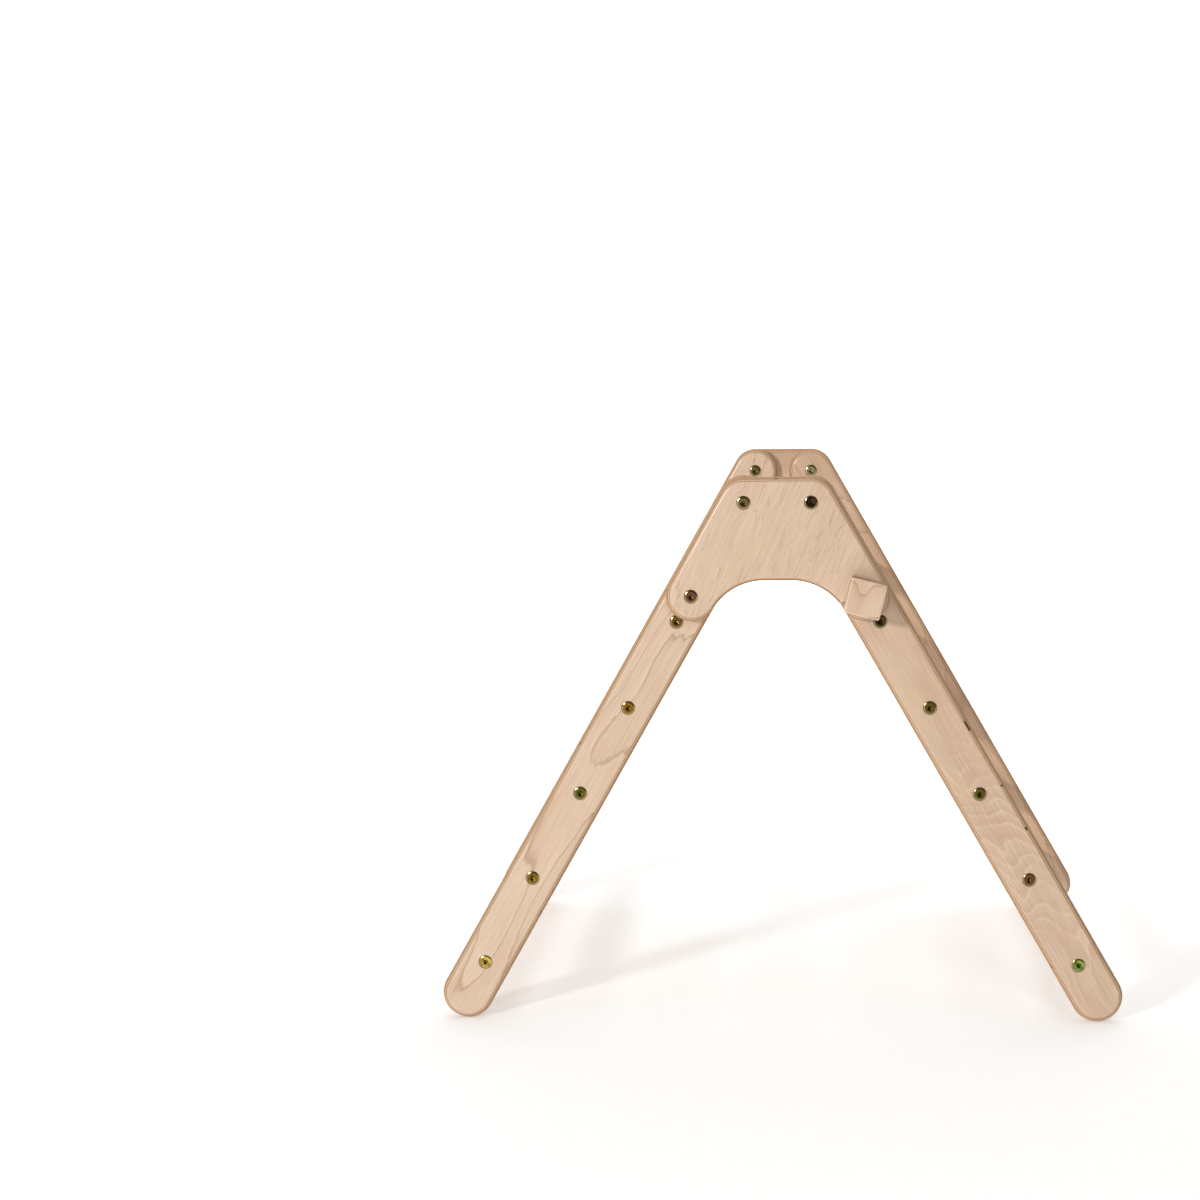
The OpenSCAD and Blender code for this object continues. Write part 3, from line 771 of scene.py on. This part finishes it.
def pair_group(name, spots, y_face, outward, body, tints, sleeve):
    parts = []
    for k, front in enumerate((True, False)):
        for i, p in enumerate(spots):
            y = y_face * (1 if front else -1)
            if sleeve:
                parts.append((p, y, not front, sleeve_mesh(p, y, not front, turn_of(i + 3 * k + 1))))
            else:
                parts.append((p, y, front, bolt_mesh(p, y, front, 25 * MM, turn_of(i + 3 * k + 2))))
    return fastener_group(name, parts, body, tints)


pair_group("plate_bolts", [on_leg(-1, 0), on_leg(-1, LOCK)], FACE_Y + SINK, True, "left_leg", [(ASH, AMBER), (PLUM, UMBER), (OLIVE, GREEN), (OLIVE, AMBER)], False)
pair_group("plate_sleeve_nuts", [on_leg(-1, 0), on_leg(-1, LOCK)], IN_Y - SINK, False, "left_leg", [(OLIVE, GREEN), (AMBER, OLIVE), (ASH, OLIVE), (GREEN, OLIVE)], True)
pair_group("pivot_bolts", [PIVOT_P], FACE_Y + SINK, True, "left_leg", [(BLACK, UMBER), (OLIVE, AMBER)], False)
pair_group("pivot_sleeve_nuts", [PIVOT_P], SWING_IN - 2.6 * MM, False, "left_leg", [(ASH, OLIVE), (PALE_TIN, ASH)], True)


def make_rung(name, side, i, body):
    p = on_leg(side, RUNGS[i])
    half = 290 * MM if side < 0 else 289.6 * MM
    r = 15 * MM
    prof = [(4.3 * MM, -(half - 40 * MM)), (4.3 * MM, -(half - 25.5 * MM)), (6.05 * MM, -(half - 25.5 * MM)), (6.05 * MM, -half + 0.3 * MM), (6.4 * MM, -half)]
    for k in range(6):
        a = k / 5 * math.pi / 2
        prof.append((r - 1.2 * MM * (1 - math.sin(a)), -half + 1.2 * MM * (1 - math.cos(a))))
    n = 30
    for k in range(1, n):
        h = -half + 4 * MM + (2 * half - 8 * MM) * k / n
        prof.append((r - 0.05 * MM * (1 + noise.noise(Vector((h * 9, i * 3.3, side * 2.0)))), h))
    prof += [(rr, -h) for rr, h in reversed(prof[:11])]
    place = lambda x, z, h: (p[0] + x, h, p[1] + z)
    verts, faces = lathe(prof, place, 56)
    spin = 0.9 * i + (2.0 if side > 0 else 0.0)
    cs, sn = math.cos(spin), math.sin(spin)
    off = 0.7 * i + (4.1 if side > 0 else 0.3)
    grain = lambda co: (co.y + off, (co.x - p[0]) * cs - (co.z - p[1]) * sn, (co.x - p[0]) * sn + (co.z - p[1]) * cs)
    return finish_mesh(name + "_dowel", verts, faces, RUNG, body, [name], grain, 0.15 + 0.12 * ((i * 7 + (2 if side > 0 else 0)) % 5), off)


for i in range(5):
    make_rung("left_rung_%d" % (i + 1), -1, i, "left_leg")
    make_rung("right_rung_%d" % (i + 1), 1, i, "right_leg")


# ------------------------------------------------------------------ knobs
def make_knob(name, mirrored, body, tone, lay):
    """Square wooden head: rounded corners, softened edges, bored for its stud."""
    a, cr, er, t = 22.5 * MM, 2.6 * MM, 2.4 * MM, 30 * MM
    turn = math.radians(-14)
    ct, st = math.cos(turn), math.sin(turn)
    base = []
    b = a - cr
    for cx, cz, a0 in ((b, -b, -90), (b, b, 0), (-b, b, 90), (-b, -b, 180)):
        base += arc((cx, cz), cr, math.radians(a0), math.radians(a0 + 90), 10)
        nxt = math.radians(a0 + 90)
        ex, ez = cx + cr * math.cos(nxt), cz + cr * math.sin(nxt)
        dx, dz = -math.sin(nxt), math.cos(nxt)
        base += run((ex, ez), (ex + dx * 2 * b, ez + dz * 2 * b), math.cos(nxt), math.sin(nxt), 4 * MM)
    hole = ((0.0, 0.0), [(4.05 * MM, 11.5 * MM), (4.05 * MM, t - 0.5 * MM), (4.5 * MM, t)])
    bevel = [(1.0, 0.0), (0.92, 0.012), (0.80, 0.043), (0.62, 0.098), (0.44, 0.155), (0.30, 0.215), (0.17, 0.30), (0.07, 0.43), (0.015, 0.58), (0.0, 0.75)]
    verts, faces = board_mesh(base, [hole], 0.0, t, er, lay + 0.6, blind=True, profile=bevel)
    y0 = KNOB_Y - t
    world = []
    for x, y, z in verts:
        world.append((LOCK_P[0] + x * ct - z * st, y0 + y, LOCK_P[1] + x * st + z * ct))

    def grain(co):
        x, z = co.x - LOCK_P[0], co.z - LOCK_P[1]
        y = -co.y if mirrored else co.y
        return (-x * st + z * ct, x * ct + z * st, y - y0)

    def shaded_walls_lit_rim(co):
        u, v, w = grain(co)
        du, dv = max(abs(u) - a + cr, 0.0), max(abs(v) - a + cr, 0.0)
        inset = cr - math.hypot(du, dv)
        # side walls: painted shade, strongest on the end grain
        if w > 0.4 * er:
            return 0.72 if du > dv else 0.22
        # a band round the face's edge: painted highlight
        return -1.0 if inset < 0.5 * er else 0.0
    return finish_mesh(name + "_head", world, faces, KNOB, body, [name], grain, tone, lay, shaded_walls_lit_rim, mirrored=mirrored, sharp=60.0)


make_knob("front_knob", False, "front_knob", 0.15, 0.0)
make_knob("rear_knob", True, "rear_knob", 0.35, 3.7)


def make_stud(name, mirrored, body):
    """Threaded stud, 8 mm with a 1.25 mm pitch; the thread is real geometry."""
    y0, y1 = KNOB_Y - 18 * MM, SWING_IN - 1.4 * MM
    pitch, n = 1.25 * MM, 28
    rows = int((y1 - y0) / pitch * 8)
    verts, faces = [], []
    for k in range(rows + 1):
        y = y0 + (y1 - y0) * k / rows
        end = min((y - y0), (y1 - y)) / (1.2 * MM)
        for i in range(n):
            a = 2 * math.pi * i / n
            ph = (y / pitch - (i / n)) % 1.0
            tri = 1 - abs(ph * 2 - 1)
            r = 3.35 * MM + 0.64 * MM * min(1.0, max(0.0, tri * 1.25 - 0.1))
            r = min(r, 3.2 * MM + 0.8 * MM * max(0.0, min(1.0, end)))
            verts.append((LOCK_P[0] + r * math.cos(a), y, LOCK_P[1] + r * math.sin(a)))
    for k in range(rows):
        for i in range(n):
            j = (i + 1) % n
            faces.append((k * n + i, k * n + j, (k + 1) * n + j, (k + 1) * n + i))
    faces.append(tuple(reversed(range(n))))
    faces.append(tuple(range(rows * n, rows * n + n)))
    grain = lambda co: (co.x, co.y, co.z)
    return finish_mesh(name + "_thread", verts, faces, ZINC, body, [name], grain, 0.3, 0.0, mirrored=mirrored, sharp=60.0, tint=lambda co: SILVER)


make_stud("front_knob_stud", False, "front_knob")
make_stud("rear_knob_stud", True, "rear_knob")


def make_washer(name, mirrored, body):
    y_in = FACE_Y - 0.3 * MM
    prof = [(4.35, 0.0), (4.3, 0.15), (4.3, 1.45), (4.45, 1.6), (11.6, 1.6), (11.9, 1.5), (12.0, 1.25), (12.0, 0.35), (11.9, 0.1), (11.6, 0.0)]
    n = 64
    verts, faces = [], []
    for r, h in prof:
        for i in range(n):
            a = 2 * math.pi * i / n
            verts.append((LOCK_P[0] + r * MM * math.cos(a), y_in - h * MM, LOCK_P[1] + r * MM * math.sin(a)))
    m = len(prof)
    for k in range(m):
        q = (k + 1) % m
        for i in range(n):
            j = (i + 1) % n
            faces.append((k * n + i, k * n + j, q * n + j, q * n + i))
    grain = lambda co: (co.x, co.y, co.z)
    return finish_mesh(name + "_ring", verts, faces, ZINC, body, [name], grain, 0.3, 0.0, mirrored=mirrored, sharp=40.0, tint=lambda co: SILVER)


make_washer("front_knob_washer", False, "front_washer")
make_washer("rear_knob_washer", True, "rear_washer")


# CAD pieces that are carried over, hidden or nearly so: plated steel on each
def carried(name):
    """Material for a CAD node: plated steel that needs no stored attribute."""
    m, n, bsdf = material(name)
    g = n.new("ShaderNodeTexCoord").outputs["Object"]
    cloud = n.noise(g, 260.0, 3.0, 0.6, 0.8)
    film = n.noise(g, 60.0, 2.0, 0.5, 0.4)
    col = n.mix(n.step(cloud, 0.35, 0.65), srgb(196, 198, 196), srgb(168, 170, 168))
    col = n.mix(n.step(film, 0.5, 0.8, 0.0, 0.5), col, srgb(206, 200, 176))
    n.put(bsdf.inputs["Base Color"], col)
    bsdf.inputs["Metallic"].default_value = 1.0
    n.put(bsdf.inputs["Roughness"], n.add(n.mul(cloud, 0.2), 0.22))
    b = n.new("ShaderNodeBump")
    b.inputs["Strength"].default_value = 0.12
    b.inputs["Distance"].default_value = 0.0001
    n.put(b.inputs["Height"], n.noise(g, 900.0, 2.0, 0.6))
    n.put(bsdf.inputs["Normal"], b.outputs[0])
    return m


CARRIED = carried("bright_zinc_plain")
for name in ("left_rung_inserts", "right_rung_inserts", "knob_insert_nuts"):
    me = nodes[name].data
    for i in range(max(1, len(me.materials))):
        if len(me.materials) <= i:
            me.materials.append(CARRIED)
        else:
            me.materials[i] = CARRIED


# ------------------------------------------------------------------ stage
def make_stage():
    me = bpy.data.meshes.new("floor")
    bm = bmesh.new()
    prof = []
    for y in (-14.0, -4.0, 0.0, 4.0):
        prof.append((y, 0.0))
    for k in range(1, 13):
        a = k / 12 * math.pi / 2
        prof.append((4.0 + 3.0 * math.sin(a), 3.0 * (1 - math.cos(a))))
    prof.append((7.0, 12.0))
    rows = []
    for y, z in prof:
        rows.append([bm.verts.new((x, y, z - 0.0005)) for x in (-12, -4, 4, 12)])
    for a, b in zip(rows, rows[1:]):
        for i in range(3):
            bm.faces.new((a[i], a[i + 1], b[i + 1], b[i]))
    for f in bm.faces:
        f.smooth = True
    bm.to_mesh(me)
    bm.free()
    ob = bpy.data.objects.new("floor", me)
    bpy.context.scene.collection.objects.link(ob)
    m, n, bsdf = material("pale_floor")
    g = n.new("ShaderNodeTexCoord").outputs["Object"]
    n.put(bsdf.inputs["Base Color"], n.mix(n.noise(g, 1.5, 2.0, 0.5), (0.90, 0.90, 0.90), (0.92, 0.92, 0.92)))
    bsdf.inputs["Roughness"].default_value = 0.9
    bsdf.inputs["Specular IOR Level"].default_value = 0.1
    bsdf.inputs["Emission Color"].default_value = (1.0, 1.0, 1.0, 1.0)
    bsdf.inputs["Emission Strength"].default_value = 0.26
    me.materials.append(m)


def make_backdrop():
    """A white dome, and a veil that turns the far floor white. Only the camera sees them: they light nothing."""
    for name in ("dome", "veil"):
        bm = bmesh.new()
        if name == "dome":
            rings = [(11.0 * math.cos(k / 12 * math.pi / 2.05), -0.4 + 11.4 * math.sin(k / 12 * math.pi / 2.05)) for k in range(13)]
        else:
            rings = [(2.2 + 9.2 * k / 8, 0.002) for k in range(9)]
        rows = [[bm.verts.new((r * math.cos(i / 64 * 2 * math.pi), r * math.sin(i / 64 * 2 * math.pi), z)) for i in range(64)] for r, z in rings]
        for a, b in zip(rows, rows[1:]):
            for i in range(64):
                bm.faces.new((a[i], a[(i + 1) % 64], b[(i + 1) % 64], b[i]))
        if name == "dome":
            bm.faces.new(rows[-1])
        me = bpy.data.meshes.new(name)
        bm.to_mesh(me)
        bm.free()
        ob = bpy.data.objects.new(name, me)
        bpy.context.scene.collection.objects.link(ob)
        m, n, bsdf = material("backdrop_" + name)
        x, y, z = n.xyz(n.new("ShaderNodeTexCoord").outputs["Object"])
        r = n.math("SQRT", n.add(n.mul(x, x), n.mul(y, y)))
        glow = n.new("ShaderNodeEmission")
        clear = n.new("ShaderNodeBsdfTransparent")
        mix = n.new("ShaderNodeMixShader")
        n.put(mix.inputs[0], n.step(r, 2.3, 6.0) if name == "veil" else n.add(n.mul(z, 0.0), 1.0))
        n.put(mix.inputs[1], clear.outputs[0])
        n.put(mix.inputs[2], glow.outputs[0])
        out = next(x for x in m.node_tree.nodes if x.type == "OUTPUT_MATERIAL")
        n.put(out.inputs["Surface"], mix.outputs[0])
        me.materials.append(m)
        for ray in ("diffuse", "glossy", "transmission", "volume_scatter", "shadow"):
            setattr(ob, "visible_" + ray, False)
    return ob


make_stage()
make_backdrop()


def area(name, place, target, size, power, colour=(1, 1, 1)):
    d = bpy.data.lights.new(name, "AREA")
    d.shape, d.size, d.size_y = "RECTANGLE", size[0], size[1]
    d.energy, d.color = power, colour
    ob = bpy.data.objects.new(name, d)
    ob.location = place
    ob.rotation_mode = "QUATERNION"
    ob.rotation_quaternion = (Vector(target) - Vector(place)).to_track_quat("-Z", "Y")
    bpy.context.scene.collection.objects.link(ob)
    return ob


area("key", (-4.38, -6.53, 2.5), (0, -0.3, 0.4), (0.77, 0.77), 300, (1.0, 0.985, 0.965))
area("front", (0.6, -5.0, 3.8), (0, 0, 0.4), (1.6, 0.5), 36, (1.0, 0.99, 0.98)).visible_glossy = False
area("top", (0.0, 0.4, 4.4), (0, 0.4, 0), (5.0, 5.0), 100)
area("wall", (0.0, 2.2, 4.6), (0, 7.5, 1.6), (7.0, 1.6), 220)

world = bpy.data.worlds.new("studio")
bpy.context.scene.world = world
world.use_nodes = True
wn = Net(world.node_tree)
out = wn.new("ShaderNodeOutputWorld")
bg = wn.new("ShaderNodeBackground")
bg.inputs["Color"].default_value = (1.0, 0.96, 0.90, 1.0)
bg.inputs["Strength"].default_value = 0.125
wn.t.links.new(bg.outputs[0], out.inputs[0])

scene = bpy.context.scene
scene.view_settings.view_transform = "Standard"
scene.view_settings.look = "None"
scene.view_settings.exposure = 0.0
scene.view_settings.gamma = 1.0

# ------------------------------------------------------------------ camera at the photograph's angle
F = Vector((-0.054839736, 0.995212201, -0.080902895))
R = Vector((0.998485278, 0.054298244, -0.00887971))
U = Vector((0.004444309, 0.081267311, 0.996682433))
cd = bpy.data.cameras.new("camera")
cam = bpy.data.objects.new("camera", cd)
scene.collection.objects.link(cam)
cd.sensor_width, cd.sensor_fit = 36.0, "HORIZONTAL"
cd.lens = 2332.966424 / 1200 * 36
cd.shift_x, cd.shift_y = -0.07, -0.075
cd.clip_start, cd.clip_end = 0.05, 60
rot = Matrix((R, U, -F)).transposed()
cam.matrix_world = Matrix.Translation(Vector((0.043252, -3.21986, 0.889513))) @ rot.to_4x4()
scene.camera = cam
